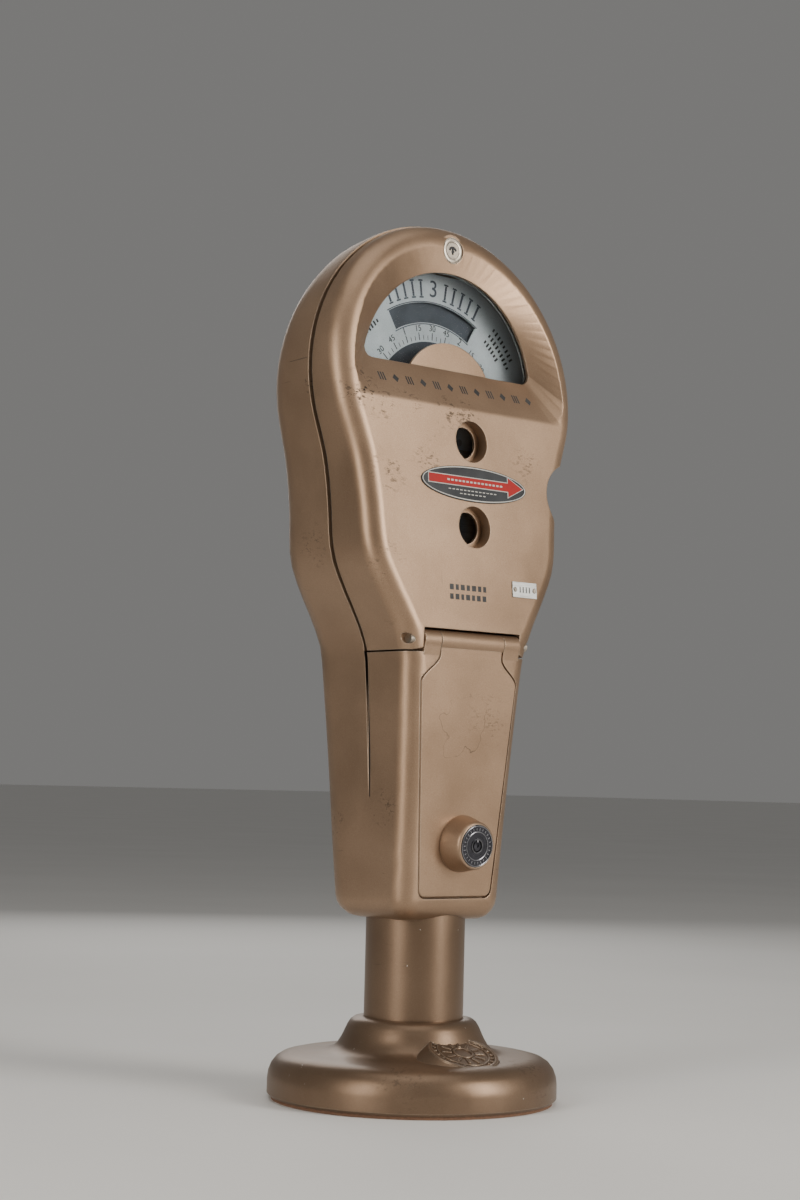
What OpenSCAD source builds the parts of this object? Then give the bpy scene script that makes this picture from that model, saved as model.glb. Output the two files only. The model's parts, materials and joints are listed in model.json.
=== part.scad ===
// Coin parking meter head on a short pipe and a round cast base.
// +Z up, front towards -Y, +X to the right seen from the front.
// Origin: centre of the base's underside, on the pipe's axis. Millimetres.

/* [Base and post] */
// Radius of the round cast base
base_r = 87.5; // [78:0.5:110]
// Thickness of the pad under the base
pad_t = 2; // [2:0.5:6]
// Height of the cast base above its pad
base_h = 47.5; // [42:0.5:60]
// Wall of the hollow base casting
base_wall = 6; // [4:0.5:8]
// Outside diameter of the pipe post
post_od = 60.3; // [48.3:0.1:72]
// Wall of the pipe post
post_wall = 3.9; // [2.5:0.1:5]
// Length of pipe seen between the base and the vault
post_show = 59.5; // [40:0.5:400]

/* [Vault] */
// Height of the vault, from its underside to the shelf under the head
vault_h = 158.5; // [150:0.5:200]
// Half-width of the vault at its underside
vault_foot_w = 40.2; // [39:0.1:52]
// Half-width of the vault at the shelf
vault_top_w = 48.5; // [47:0.1:60]
// Radius of the vault's bottom edge
vault_edge_r = 13; // [12.5:0.5:16]
// Wall of the castings
wall = 4.5; // [3.5:0.1:6]
// Wall behind the vault door's rim
door_wall = 7.5; // [7:0.5:10]
// Height of the solid foot of the vault casting
foot_h = 16.5; // [15:0.5:22]

/* [Head] */
// Radius of the round top of the head
head_r = 96.5; // [88:0.5:116]
// Height of the head's centre above the shelf
head_rise = 169.5; // [160:0.5:190]
// Depth of the front face ahead of the post's axis, at the hinge
face_depth = 46.6; // [44:0.1:56]
// Depth of the back behind the post's axis, at its fullest
back_depth = 53; // [48:0.5:64]
// Radius of the front edge
front_round = 12; // [9:0.5:13]
// Radius of the back edge
back_round = 22; // [16:0.5:24]
// Gap between cover and rear housing
seam_gap = 2.3; // [2:0.1:4]

/* [Window] */
// Width of the rim between the head's outline and the window recess
rim_w = 11.3; // [10:0.1:14]
// Height of the recess sill below the head's centre
sill_drop = 18; // [12:0.5:24]
// Radius of the glass opening
glass_r = 69; // [60:0.5:72]
// Thickness of the window glass
glass_t = 3; // [2:0.5:4]
// Diameter of the coin viewing holes
view_d = 25.5; // [20:0.5:28]
// Distance between the coin viewing holes
view_pitch = 52.6; // [48:0.1:60]

/* [Hinge, door and locks] */
// Radius of the hinge knuckles
knuckle_r = 6.2; // [5.5:0.1:6.2]
// Radius of the hinge pin
pin_r = 3; // [2:0.1:3.5]
// Half-length of the door's own knuckle
door_knuckle_w = 25; // [20:0.5:28]
// Half-length of the row of three knuckles
barrel_w = 38; // [34:0.5:40]
// Half-width of the vault door at its foot
door_foot_w = 29; // [28:0.1:30]
// Half-width of the vault door at its shoulders
door_top_w = 38.2; // [36:0.1:39]
// Thickness of the vault door
door_t = 4; // [3:0.1:4.2]
// Outer radius of the vault lock's collar
collar_r = 17; // [15:0.5:20]
// Height of the vault lock's collar
collar_h = 14.3; // [8:0.1:20]
// Radius of the vault lock's face
vault_lock_r = 12.5; // [11:0.1:13]
// Radius of the top lock
top_lock_r = 8; // [6.5:0.1:8.5]

/* [Coin box] */
// Half-width of the coin box
box_w = 26; // [20:0.5:26.5]
// Depth of the coin box
box_d = 55; // [40:0.5:56]
// Height of the coin box
box_h = 84; // [60:0.5:95]
// Sheet thickness of the coin box
box_t = 1.5; // [1:0.1:2.5]

/* [Clockwork] */
// Module of the main gear pair
main_mod = 1; // [0.8:0.05:1.05]
// Thickness of the movement's plates
plate_t = 2; // [1.5:0.1:2.5]
// Space between the movement's plates
plate_gap = 18; // [17:0.5:19]
// Radius of the arbors
arbor_r = 2; // [1.5:0.1:2.5]

/* [Hidden] */
$fn = 96;
fit = 0.05;      // radial clearance of a shaft in its hole
seat = 0.1;      // gap between seated pieces
clear = 0.3;     // gap between pieces on different bodies

post_r = post_od / 2;
post_ir = post_r - post_wall;
collar_z = pad_t + base_h;
vault_z = collar_z + post_show;
shelf_z = vault_z + vault_h;
floor_z = vault_z + foot_h;
shelf_t = 5.5;
head_z = shelf_z + head_rise;
seam_y = -5;
cover_y = seam_y - seam_gap / 2;
housing_y = seam_y + seam_gap / 2;
cover_z = shelf_z + 1;

// hinge line, shared by the front cover and the vault door
hinge_z = shelf_z + 7.5;
hinge_y = -(face_depth - 5.1);
// slopes of the front face: on the vault, on the head, above the sill
vault_slope = -0.073;
head_slope = 0.087;
brow_slope = 0.135;
bend_z = hinge_z + 5.4;
sill_z = head_z - sill_drop;

// flare of the head's side: [share of the rise, share of the widening]
join_a = -8.3;
flare = [[0.044, 0.046], [0.112, 0.156], [0.215, 0.365], [0.31, 0.533], [0.386, 0.598],
         [0.522, 0.64], [0.664, 0.719], [0.764, 0.827], [0.847, 0.927]];
waist_drop = 1.1;
side_curve = concat(
    [[vault_z, vault_foot_w],
     [vault_z + vault_h * 0.5, (vault_foot_w + vault_top_w) / 2 - waist_drop],
     [shelf_z, vault_top_w]],
    [for (p = flare) [shelf_z + p[0] * head_rise, vault_top_w + p[1] * (head_r - vault_top_w)]],
    [[head_z + head_r * sin(join_a), head_r * cos(join_a)]]);
join_z = head_z + head_r * sin(join_a);

// back profile: [height, how far it falls short of the full depth]
back_curve = [
    [vault_z, 12], [vault_z + vault_h * 0.29, 7.6], [vault_z + vault_h * 0.6, 4.4],
    [shelf_z, 0.5], [shelf_z + head_rise * 0.23, 0], [shelf_z + head_rise * 0.46, 3.2],
    [shelf_z + head_rise * 0.69, 4.6], [head_z - 9, 9.6], [head_z + 13, 12.7],
    [head_z + 55.5, 18.5], [head_z + head_r, 24]];

// smooth curve through [z, value] points
function tangent(p, i) =
    let (a = max(i - 1, 0), b = min(i + 1, len(p) - 1)) (p[b][1] - p[a][1]) / (p[b][0] - p[a][0]);
function part_of(p, z, i = 0) = i >= len(p) - 2 || z < p[i + 1][0] ? i : part_of(p, z, i + 1);
function along(p, z) =
    let (i = part_of(p, z), h = p[i + 1][0] - p[i][0], t = (z - p[i][0]) / h)
    (2 * t^3 - 3 * t^2 + 1) * p[i][1] + (t^3 - 2 * t^2 + t) * h * tangent(p, i)
    + (3 * t^2 - 2 * t^3) * p[i + 1][1] + (t^3 - t^2) * h * tangent(p, i + 1);
function side_w(z) = along(side_curve, z);
function lean(z) = let (s = (side_w(z + 0.5) - side_w(z - 0.5))) sqrt(1 + s * s);
function back_y(z) = back_depth - along(back_curve, z);
function face_y(z) =
    z < bend_z ? -face_depth + vault_slope * (z - bend_z)
    : z < sill_z ? -face_depth + head_slope * (z - bend_z)
    : -face_depth + head_slope * (sill_z - bend_z) + brow_slope * (z - sill_z);
function smooth(t) = let (c = max(0, min(1, t))) c * c * (3 - 2 * c);

// right half of the meter's outline from z0 up to z1, drawn in by inset;
// edge is the radius of the lower corner and grow widens the head's part
function half_outline(z0, z1, edge, inset, step, grow = 0) =
    let (r = max(edge - inset, 0.4), low = edge > 0 ? z0 + inset + r : z0,
         high = min(z1, join_z), n = ceil((high - z0) / step))
    concat(
        edge > 0 ? [for (a = [-90:22.5:-22.5])
            [side_w(low) - inset - r + r * cos(a), low + r * sin(a)]] : [],
        [for (i = [0:n]) let (z = low + (high - low) * i / n, g = grow * smooth((z - shelf_z) / 60))
            [side_w(z) - (inset - g) * lean(z), z]],
        z1 > join_z ? [for (a = [-3:5:87])
            [(head_r - inset + grow) * cos(a), head_z + (head_r - inset + grow) * sin(a)]] : []);

// closed loop of points from a right half: mirrored, with y given by a function of the ring
function ring(half, y) = concat(
    [for (i = [0:len(half) - 1]) [half[i][0], y[i], half[i][1]]],
    [for (i = [len(half) - 1:-1:0]) [-half[i][0], y[i], half[i][1]]]);
function front_ring(z0, z1, edge, inset, depth, step, grow = 0) =
    let (h = half_outline(z0, z1, edge, inset, step, grow)) ring(h, [for (p = h) face_y(p[1]) + depth]);
function back_ring(z0, z1, edge, inset, depth, step) =
    let (h = half_outline(z0, z1, edge, inset, step)) ring(h, [for (p = h) back_y(p[1]) - depth]);
function flat_ring(half, y) = ring(half, [for (p = half) y]);

// solid through a list of rings that are mirror images about X = 0, from front to back
module loft(rings) {
    n = len(rings[0]);
    m = len(rings);
    sides = [for (k = [0:m - 2], i = [0:n - 1]) let (j = (i + 1) % n)
        [k * n + i, k * n + j, (k + 1) * n + j, (k + 1) * n + i]];
    front = [for (i = [0:n / 2 - 2]) [i, n - 1 - i, n - 2 - i, i + 1]];
    back = [for (f = front) [for (i = [3:-1:0]) f[i] + (m - 1) * n]];
    polyhedron([for (r = rings) each r], concat(sides, front, back));
}

// rounded front edge as rings, from the face back to the seam
function front_rings(z0, z1, edge, inset, skin, step, arc) =
    [for (a = [90:-arc:0]) front_ring(z0, z1, edge, inset + front_round * (1 - cos(a)),
        skin + front_round * (1 - sin(a)), step)];
function back_rings(z0, z1, edge, inset, skin, step, arc) =
    [for (a = [0:arc:90]) back_ring(z0, z1, edge, inset + back_round * (1 - cos(a)),
        skin + back_round * (1 - sin(a)), step)];

// cylinder along Y from y0 to y1, and along X from x0 to x1
module yc(x, z, y0, y1, r) translate([x, y1, z]) rotate([90, 0, 0]) cylinder(r = r, h = y1 - y0);
module xc(y, z, x0, x1, r) translate([x0, y, z]) rotate([0, 90, 0]) cylinder(r = r, h = x1 - x0);
module yring(x, z, y0, y1, r, bore) difference() {
    yc(x, z, y0, y1, r);
    yc(x, z, y0 - 1, y1 + 1, bore);
}
// flat outline in X and Z, extruded from y0 to y1
module yplate(y0, y1) translate([0, y1, 0]) rotate([90, 0, 0]) linear_extrude(y1 - y0) children();
// frame on the front face at x, z: local Z points out of the face, local Y up along it
module on_face(x, z) translate([x, face_y(z), z]) rotate([90 - face_tilt(z), 0, 0]) children();
function face_tilt(z) = atan(z < bend_z ? vault_slope : head_slope);

paint = [0.66, 0.56, 0.44];
steel = [0.62, 0.63, 0.65];
brass = [0.78, 0.62, 0.30];

// ---------------------------------------------------------------- base and post
ledge_z = pad_t + 7;
module base_pad() color([0.55, 0.33, 0.2]) difference() {
    cylinder(r = base_r - 2.5, h = pad_t);
    translate([0, 0, -1]) cylinder(r = post_r + 20, h = pad_t + 2);
}
// outer outline of the base as [radius, height above the pad], closed at radius r_in
function dome(r_in) = let (top = base_h) [
    [r_in, 0], [base_r - 1.5, 0], [base_r, 1.5], [base_r, 10], [base_r - 0.5, 14],
    [base_r - 2.2, 18.5], [base_r - 5, 22], [base_r - 8.5, 24.2], [base_r - 13.5, 25.3],
    [base_r - 21.5, 26], [base_r - 29.5, 26.6], [post_r + 21.9, 27.4], [post_r + 18, 29],
    [post_r + 15.3, 31.6], [post_r + 13.1, 35.2], [post_r + 11.3, 39], [post_r + 9.7, 42.5],
    [post_r + 8, 45.2], [post_r + 5.7, 46.9], [post_r + 2.2, top], [r_in, top]];
badge_r = 21;
badge_tilt = 20.3;
badge_turn = 7;
module badge_frame() rotate([0, 0, -badge_turn]) translate([0, -post_r - 22.9, pad_t + 30.8])
    rotate([badge_tilt, 0, 0]) children();
module base_flange() color(paint) difference() {
    union() {
        difference() {
            translate([0, 0, pad_t]) rotate_extrude() polygon(dome(0));
            // hollow underside between the rim and the socket
            translate([0, 0, pad_t - 1]) rotate_extrude() polygon([
                [post_r + base_wall, 0], [base_r - base_wall, 0], [base_r - base_wall - 1, 12],
                [base_r - 18, 17], [post_r + 22, 19], [post_r + base_wall, 21]]);
        }
        intersection() {
            badge_frame() translate([0, 0, -9]) cylinder(r1 = badge_r + 9, r2 = badge_r, h = 9.6);
            translate([0, 0, pad_t + 22]) cylinder(r = base_r - 6, h = 40);
        }
        badge_frame() difference() {
            translate([0, 0, 0.4]) cylinder(r = badge_r, h = 1.1);
            translate([0, 0, 0.6]) cylinder(r = badge_r - 2, h = 3);
        }
    }
    translate([0, 0, ledge_z]) cylinder(r = post_r + seat, h = base_h + 20);
    translate([0, 0, -1]) cylinder(r = post_ir, h = ledge_z + 2);
    translate([0, 0, collar_z - 8]) rotate([-90, 0, 0]) cylinder(r = 3 + fit, h = post_r + 20);
}
module base_set_screw() color(steel) translate([0, 0, collar_z - 8]) rotate([-90, 0, 0]) difference() {
    translate([0, 0, post_r + seat]) cylinder(r = 3, h = 9);
    translate([0, 0, post_r + 7]) cylinder(r = 1.6, h = 5, $fn = 6);
}
module post() color(paint) translate([0, 0, ledge_z]) difference() {
    cylinder(r = post_r, h = floor_z - 5.5 - ledge_z);
    translate([0, 0, -1]) cylinder(r = post_ir, h = floor_z);
}
anchor_pts = [for (a = [45:90:315]) 15 * [cos(a), sin(a)]];
anchor_top = floor_z - 5.5;
module post_anchor() color(steel) difference() {
    translate([0, 0, anchor_top - 45]) cylinder(r = post_ir - fit, h = 45);
    for (p = anchor_pts) translate([p[0], p[1], anchor_top - 25]) cylinder(r = 3 + fit, h = 40);
}
module anchor_bolts() color(steel) for (p = anchor_pts) translate([p[0], p[1], 0]) {
    translate([0, 0, anchor_top - 20]) cylinder(r = 3, h = 23.2);
    translate([0, 0, anchor_top + 3.1]) cylinder(r = 5, h = 2, $fn = 6);
}

// ---------------------------------------------------------------- rear housing and vault
scoop_r = 20;
scoop_x = head_r - 10;
scoop_z = shelf_z + 104.5;
scoop_y = 12;
scoop_len = face_depth + 20 + scoop_y;
module scoop(r) translate([scoop_x, scoop_y - scoop_len, scoop_z]) rotate([-90, 0, 0]) rotate_extrude()
    polygon([[0, 0], [r, 0], for (a = [0:18:72]) [r * cos(a), scoop_len + r * sin(a)], [0, scoop_len + r]]);
plate_y = 12;
back_plate_y = plate_y + plate_t + plate_gap;
pillar_pts = [for (x = [-52, 52], z = [-77, 1]) [x, head_z + z]];
boss_r = 5.5;
boss_y = back_plate_y + plate_t + seat;
keeper_x = 6;
top_lock_z = head_z + 81;

// vault door outline, right half; grow widens it and drop lowers its bottom edge
function door_half(grow, drop = 0) =
    let (z0 = door_z, top = shelf_z - 17.5, rise = 16, r = 5)
    concat([for (a = [-90:22.5:0]) [door_foot_w - r + (r + grow) * cos(a), z0 + r + (r + grow + drop) * sin(a)]],
        [for (t = [0.25:0.25:0.75]) [door_foot_w + (door_top_w - door_foot_w) * t + grow,
            z0 + r + (top - z0 - r) * t]],
        [for (t = [0:0.125:1]) [door_top_w + grow - (door_top_w - door_knuckle_w) * smooth(t), top + rise * t + drop]],
        [[door_knuckle_w + grow, shelf_z + 4.5]]);
door_z = vault_z + 14;
function on_front(half, depth) = ring(half, [for (p = half) -face_depth + vault_slope * (p[1] - bend_z) + depth]);
chute_x = 12;
chute_y = 7;
chute_t = 6;
chute_slot = 3;

rear_glass_r = 56;
rear_glass_floor = 15;
back_tilt = atan(5.8 / 42.5);
// frame on the sloping back of the head; local Z points out of the back, local Y up
module on_back() translate([0, back_y(head_z + 34), head_z + 34]) rotate([90 - back_tilt, 0, 180]) children();
// round-topped opening with a flat floor, centred on the frame's origin
module arch(r) intersection() {
    translate([0, -34]) circle(r = r);
    translate([-r, -34 + rear_glass_floor - (r - rear_glass_r)]) square([2 * r, 2 * r]);
}

module groove() for (s = [-1, 1]) yplate(cover_y, housing_y) polygon([
    [s * (side_w(shelf_z) - 2.5), shelf_z + 1], [s * (side_w(shelf_z) + 6), shelf_z + 1],
    [s * (side_w(shelf_z - 88) + 6), shelf_z - 88], [s * side_w(shelf_z - 88), shelf_z - 88]]);

module housing_shell() difference() {
    loft(concat(front_rings(vault_z, 999, vault_edge_r, 0, 0, 10, 15),
        [front_ring(vault_z, 999, vault_edge_r, 0, front_round, 10)],
        [flat_ring(half_outline(vault_z, 999, vault_edge_r, 0, 10, 1), housing_y)],
        [flat_ring(half_outline(vault_z, 999, vault_edge_r, 0, 10, 1), housing_y + 4)],
        back_rings(vault_z, 999, vault_edge_r, 0, 0, 10, 15)));
    // room for the cover above the shelf
    translate([-150, -150, shelf_z]) cube([300, 150 + housing_y, 400]);
    // inside of the head
    difference() {
        loft(concat([flat_ring(half_outline(shelf_z, 999, 0, wall, 14), housing_y - 5)],
            back_rings(shelf_z, 999, 0, wall, wall, 14, 22.5)));
        scoop(scoop_r + wall);
        for (p = pillar_pts) yc(p[0], p[1], boss_y, back_depth, boss_r);
        translate([keeper_x, housing_y + 1.2, top_lock_z - 3.5]) cube([8, 2.5, 40]);
    }
    // inside of the vault
    loft(concat(front_rings(floor_z, shelf_z - shelf_t, 0, wall, door_wall, 14, 30),
        back_rings(floor_z, shelf_z - shelf_t, 0, wall, wall, 14, 22.5)));
}
module rear_housing() color(paint) difference() {
    union() {
        difference() {
            housing_shell();
            // seat of the door and the opening behind it
            loft([on_front(door_half(0.35, 0.5), -3), on_front(door_half(0.35, 0.5), door_t + clear)]);
            loft([on_front(opening_half, door_t - 1), on_front(opening_half, door_wall + 3)]);
        }
        for (s = [-1, 1]) {
            a = s > 0 ? door_knuckle_w + 0.4 : -barrel_w;
            xc(hinge_y, hinge_z, a, a + barrel_w - door_knuckle_w - 0.4, knuckle_r);
            translate([a, 0, 0]) rotate([90, 0, 90]) linear_extrude(barrel_w - door_knuckle_w - 0.4)
                polygon([[hinge_y - 6.1, hinge_z - 0.5], [hinge_y - 5, hinge_z - 4.5],
                    [hinge_y - 4.1, hinge_z - 9], [hinge_y + 5, hinge_z - 9], [hinge_y + 6, hinge_z - 0.5]]);
        }
    }
    xc(hinge_y, hinge_z, -60, 60, pin_r + fit);
    groove();
    // pipe pocket and anchor bolt holes in the foot
    translate([0, 0, vault_z - 1]) cylinder(r = post_r + seat, h = anchor_top - vault_z + 1);
    for (p = anchor_pts) translate([p[0], p[1], anchor_top - 1]) {
        cylinder(r = 3.4, h = 30);
        translate([0, 0, 4]) cylinder(r = 6, h = 30);
    }
    // coin entry, chute hole and movement screws
    scoop(scoop_r);
    translate([scoop_x - 40, chute_y - chute_slot / 2, scoop_z - 13]) cube([30, chute_slot, 26]);
    translate([chute_x - 8, chute_y - chute_t / 2 - 0.4, shelf_z - 20]) cube([16, chute_t + 0.8, 30]);
    for (p = pillar_pts) yc(p[0], p[1], boss_y - 1, boss_y + 4, 2 + fit);
    // rear window, with a seat for its frame inside
    on_back() translate([0, 0, -40]) linear_extrude(60) arch(rear_glass_r);
}
opening_half = concat([[door_foot_w - 2.2, floor_z]],
    [for (p = door_half(-2)) if (p[1] > floor_z + 0.4 && p[1] < shelf_z - 12) p]);

module cover_gasket() color([0.08, 0.08, 0.08]) difference() {
    loft([flat_ring(half_outline(shelf_z + 13, 999, 0, 1.6, 14), housing_y - seam_gap + clear),
        flat_ring(half_outline(shelf_z + 13, 999, 0, 1.6, 14), housing_y)]);
    difference() {
        loft([flat_ring(half_outline(shelf_z + 5, 999, 0, wall - 0.4, 14), housing_y - 9),
            flat_ring(half_outline(shelf_z + 5, 999, 0, wall - 0.4, 14), housing_y + 9)]);
        scoop(scoop_r + wall - 0.4);
    }
    scoop(scoop_r + 1.6);
}
pin_w = side_w(hinge_z) - 4;
module hinge_pin() color(steel) xc(hinge_y, hinge_z, -pin_w, pin_w, pin_r);
module coin_slot_plate() color(steel) difference() {
    intersection() {
        yring(scoop_x, scoop_z, housing_y + 0.6, scoop_y, scoop_r - seat, scoop_r - 1.5);
        translate([scoop_x - 30, -20, scoop_z - 15]) cube([24, 60, 30]);
    }
    translate([scoop_x - 40, chute_y - chute_slot / 2, scoop_z - 12.5]) cube([30, chute_slot, 25]);
}
// coin path: in from the scoop, down a slope and through the shelf
function chute_path(g) = let (x = scoop_x - scoop_r - wall - 0.5, n = 13 + g, w = 7.6 + g) [
    [x, scoop_z - n], [x, scoop_z + n], [chute_x + 2 * w + 4, scoop_z + n - 14],
    [chute_x - w, scoop_z - 20], [chute_x - w, shelf_z - 3], [chute_x + w, shelf_z - 3],
    [chute_x + w, scoop_z - 44 - g]];
module coin_chute() color(steel) difference() {
    yplate(chute_y - chute_t / 2, chute_y + chute_t / 2) polygon(chute_path(0));
    yplate(chute_y - chute_slot / 2, chute_y + chute_slot / 2) polygon(chute_path(-1.2));
    translate([scoop_x - 45, chute_y - chute_slot / 2, scoop_z - 11.8]) cube([30, chute_slot, 23.6]);
    translate([chute_x - 6.4, chute_y - chute_slot / 2, shelf_z - 10]) cube([12.8, chute_slot, 30]);
}
module rear_window() color([0.7, 0.8, 0.85, 0.5]) on_back() translate([0, 0, -wall - glass_t - seat])
    linear_extrude(glass_t) arch(rear_glass_r + 5);
module rear_window_frame() color(steel) on_back() translate([0, 0, -wall - glass_t - 2 * seat - 1.5])
    linear_extrude(1.5) difference() {
        arch(rear_glass_r + 5);
        arch(rear_glass_r);
    }

// ---------------------------------------------------------------- front cover
glass_y = face_y(sill_z) + 15.5;
recess_floor = head_z + 6;
rim_z = head_z - 5.8;
// right half of a round-topped opening: centre height, radii, floor and corner radius
function arch_half(cz, rx, rz, low, corner) =
    let (t0 = asin((low + corner - cz) / rz), xe = rx * cos(t0))
    concat([for (a = [-90:30:0]) [xe - corner + corner * cos(a), low + corner + corner * sin(a)]],
        [for (i = [1:20]) let (a = t0 + (87.5 - t0) * i / 20) [rx * cos(a), cz + rz * sin(a)]]);
function glass_half(g) = arch_half(head_z - 2.5, glass_r + g, glass_r + g, recess_floor - g, 6 + g);
function rim_half(g) = arch_half(rim_z, head_r - rim_w + g, head_r - 8.8 + g, sill_z - g, 14);
function on_head(half, depth) = ring(half, [for (p = half) face_y(p[1]) + depth]);
function beyond(a, b, s) = [for (i = [0:len(a) - 1]) a[i] + s * (b[i] - a[i])];
view_x = 4.5;
view_z = [for (s = [-1, 1]) shelf_z + 104 + s * view_pitch / 2];
view_depth = 8;
frame_pts = [for (a = [12, 45, 72, 108, 135, 168])
    [(glass_r + 6) * cos(a), head_z - 2.5 + (glass_r + 6) * sin(a)]];

module front_cover() color(paint) difference() {
    union() {
        difference() {
            loft(concat(front_rings(cover_z, 999, 0, 0, 0, 7, 11.25),
                [flat_ring(half_outline(cover_z, 999, 0, 0, 7), cover_y)]));
            difference() {
                loft(concat(front_rings(cover_z - 5, 999, 0, wall, wall, 14, 22.5),
                    [flat_ring(half_outline(cover_z - 5, 999, 0, wall, 14), cover_y + 3)]));
                // wall behind the window recess
                loft([beyond(flat_ring(glass_half(9), glass_y + 2), on_head(rim_half(4), wall), 1.3),
                    flat_ring(glass_half(9), glass_y + 2)]);
                scoop(scoop_r + wall);
                for (z = view_z) yc(view_x, z, -99, face_y(z) + view_depth + 4.5, view_d / 2 + 4.5);
                yc(0, top_lock_z, -40, cover_y - 2, top_lock_r + 2.5);
                for (s = [-1, 1]) xc(hinge_y, hinge_z, s > 0 ? barrel_w + 0.6 : -60,
                    s > 0 ? 60 : -barrel_w - 0.6, knuckle_r + 0.2);
            }
        }
        yc(0, top_lock_z, -head_boss, cover_y - 2, top_lock_r + 2);
    }
    // window recess and the hole for the glass
    loft([beyond(flat_ring(glass_half(0), glass_y), on_head(rim_half(0), 0), 1.2),
        flat_ring(glass_half(0), glass_y), flat_ring(glass_half(0), glass_y + 5)]);
    for (z = view_z) {
        yc(view_x, z, -99, face_y(z) + view_depth, view_d / 2);
        yc(view_x, z, face_y(z) + view_depth - 0.1, face_y(z) + 30, view_d / 2 + 2.2);
    }
    scoop(scoop_r);
    yc(0, top_lock_z, -60, 20, top_lock_r + fit);
    for (p = frame_pts) yc(p[0], p[1], glass_y + 0.6, glass_y + 9, 1.5 + fit);
    // notch around the knuckles, pin bores, and the lower front corners turned about the hinge
    translate([-barrel_w - 0.5, -99, cover_z - 9]) cube([2 * barrel_w + 1, 99 + hinge_y + 9, hinge_z + 7 - cover_z + 9]);
    xc(hinge_y, hinge_z, -60, 60, pin_r + fit);
    difference() {
        translate([-70, hinge_y - 20, cover_z - 9]) cube([140, 20, hinge_z - cover_z + 9]);
        xc(hinge_y, hinge_z, -80, 80, hinge_z - cover_z);
    }
}
head_boss = 19.6;
module window() color([0.75, 0.82, 0.86, 0.4])
    loft([flat_ring(glass_half(3.5), glass_y + 2 + seat), flat_ring(glass_half(3.5), glass_y + 2 + seat + glass_t)]);
frame_y = glass_y + 2 + 2 * seat + glass_t;
module window_frame() color(steel) difference() {
    loft([flat_ring(glass_half(8.5), frame_y), flat_ring(glass_half(8.5), frame_y + 1.2)]);
    loft([flat_ring(glass_half(0.5), frame_y - 5), flat_ring(glass_half(0.5), frame_y + 5)]);
    yc(0, top_lock_z, -60, 20, top_lock_r + 2.8);
    for (p = frame_pts) yc(p[0], p[1], frame_y - 5, frame_y + 9, 1.5 + fit);
}
module window_screws() color(steel) for (p = frame_pts) {
    yc(p[0], p[1], glass_y + 0.8, frame_y + 1.4, 1.5);
    yc(p[0], p[1], frame_y + 1.3, frame_y + 2.6, 2.8);
}
module hub_shield() color(paint) intersection() {
    yc(0, head_z - 13.7, glass_y, glass_y + 1.9, 36.7);
    translate([-50, -99, recess_floor + seat]) cube([100, 199, 60]);
}
module view_lenses() color([0.75, 0.82, 0.86, 0.4]) for (z = view_z)
    yc(view_x, z, face_y(z) + view_depth + 2, face_y(z) + view_depth + 4, view_d / 2 + 2.1);
module lens_rings() color(paint) for (z = view_z)
    yring(view_x, z, face_y(z) + view_depth + 0.1, face_y(z) + view_depth + 1.9, view_d / 2 + 2.1, view_d / 2 - 3.2);
plate_z = shelf_z + 103.8;
module instruction_plate() color([0.1, 0.1, 0.11]) on_face(5, plate_z) translate([0, 0, 0.03]) linear_extrude(0.8)
    polygon([for (a = [0:7.5:352.5]) [42.5 * cos(a), 10.85 * sin(a)]]);
tag_x = 43.3;
tag_z = shelf_z + 42.2;
tag_w = 20;
tag_h = 9.5;
module number_plate() color([0.75, 0.75, 0.73]) on_face(tag_x, tag_z) translate([0, 0, 0.03]) difference() {
    translate([-tag_w / 2, -tag_h / 2, 0]) cube([tag_w, tag_h, 0.8]);
    for (s = [-1, 1]) translate([s * (tag_w / 2 - 2), 0, -1]) cylinder(r = 1 + fit, h = 4);
}
module plate_rivets() color(steel) on_face(tag_x, tag_z) for (s = [-1, 1]) translate([s * (tag_w / 2 - 2), 0, 0.03]) {
    cylinder(r = 1, h = 1);
    translate([0, 0, 0.85]) cylinder(r1 = 1.6, r2 = 1, h = 0.6);
}
lock_back = housing_y + 0.6;
module cover_lock_cylinder() color(steel) yring(0, top_lock_z, -head_boss - 0.6, lock_back, top_lock_r, 5 + fit);
module cover_lock_nut() color(steel) yring(0, top_lock_z, cover_y - 2 + seat, cover_y + 1, top_lock_r + 1.7, top_lock_r + fit);
cam_y = 0.5;
module cover_lock_plug() color([0.45, 0.45, 0.46]) difference() {
    union() {
        yc(0, top_lock_z, -head_boss - 0.5, lock_back + 0.4, 5);
        yc(0, top_lock_z, lock_back, cam_y + 2.6, 2.5);
        yc(0, top_lock_z, cam_y + 2.1, cam_y + 3.6, 3.2);
    }
    translate([-0.7, -head_boss - 5, top_lock_z - 2.6]) cube([1.4, 9, 5.2]);
}
module cam(len, w, h, bore) difference() {
    union() {
        cylinder(r = w / 2, h = h);
        translate([-w / 2, 0, 0]) cube([w, len, h]);
    }
    translate([0, 0, -1]) cylinder(r = bore, h = h + 2);
}
module cover_lock_cam() color(steel) translate([0, cam_y + 2, top_lock_z]) rotate([90, 180, 0]) cam(11, 7, 2, 2.5 + fit);

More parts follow.
